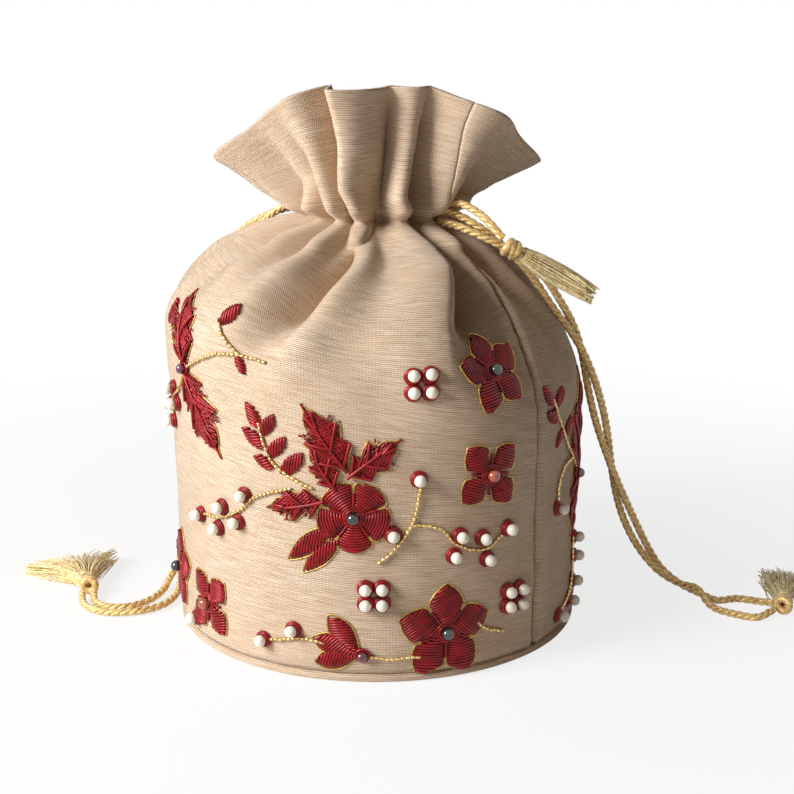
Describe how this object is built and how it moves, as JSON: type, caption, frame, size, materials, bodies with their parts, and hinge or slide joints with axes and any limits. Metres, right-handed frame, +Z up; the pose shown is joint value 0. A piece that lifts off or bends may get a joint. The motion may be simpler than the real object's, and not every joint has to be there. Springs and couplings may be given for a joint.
{
  "type": "potli bag",
  "caption": "Drum-shaped drawstring pouch of gathered silk with a flat round base, flared ruffle, raised floral wire and pearl embroidery and twisted tasselled cords; carries small things.",
  "frame": {"origin": "middle of the base, on the surface the bag stands on", "axes": "+Z up the bag to the ruffle, front of the bag faces -Y, +X to the right as seen from the front"},
  "size_m": [0.3369, 0.1694, 0.2101],
  "materials": {
    "silk_tissue": "ribbed beige silk tissue with a soft sheen",
    "stiff_board": "plain stiffening board under the lining",
    "wire_embroidery": "maroon coiled wire with gold edge thread",
    "pearl": "cream pearl in a ring of maroon wire",
    "gold_cord": "pale gold twisted silk cord and tassel"
  },
  "bodies": {
    "root": {"front_panel": "silk_tissue", "back_panel": "silk_tissue", "base_panel": "silk_tissue", "base_board": "stiff_board", "front_centre_spray": "wire_embroidery", "front_shoulder_flower": "wire_embroidery", "front_side_flower": "wire_embroidery", "front_base_spray": "wire_embroidery", "front_left_flower": "wire_embroidery", "front_edge_flower": "wire_embroidery", "front_leaf_pair": "wire_embroidery", "front_leaf_sprig": "wire_embroidery", "front_pearl_branch_left": "pearl", "front_pearl_branch_right": "pearl", "front_pearl_cluster_upper": "pearl", "front_pearl_cluster_lower": "pearl", "front_pearl_cluster_side": "pearl", "front_seam_sprig": "wire_embroidery", "front_pearl_branch_seam": "pearl", "back_centre_spray": "wire_embroidery", "back_shoulder_flower": "wire_embroidery", "back_side_flower": "wire_embroidery", "back_base_spray": "wire_embroidery", "back_left_flower": "wire_embroidery", "back_edge_flower": "wire_embroidery", "back_leaf_pair": "wire_embroidery", "back_leaf_sprig": "wire_embroidery", "back_pearl_branch_left": "pearl", "back_pearl_branch_right": "pearl", "back_pearl_cluster_upper": "pearl", "back_pearl_cluster_lower": "pearl", "back_pearl_cluster_side": "pearl", "back_seam_sprig": "wire_embroidery", "back_pearl_branch_seam": "pearl", "right_strand_a": "gold_cord", "right_strand_b": "gold_cord", "left_strand_a": "gold_cord", "left_strand_b": "gold_cord", "shoulder_strand": "gold_cord", "right_knot": "gold_cord", "right_tassel": "gold_cord", "left_knot": "gold_cord", "left_tassel": "gold_cord", "shoulder_knot": "gold_cord", "shoulder_tassel": "gold_cord"}
  },
  "joints": []
}
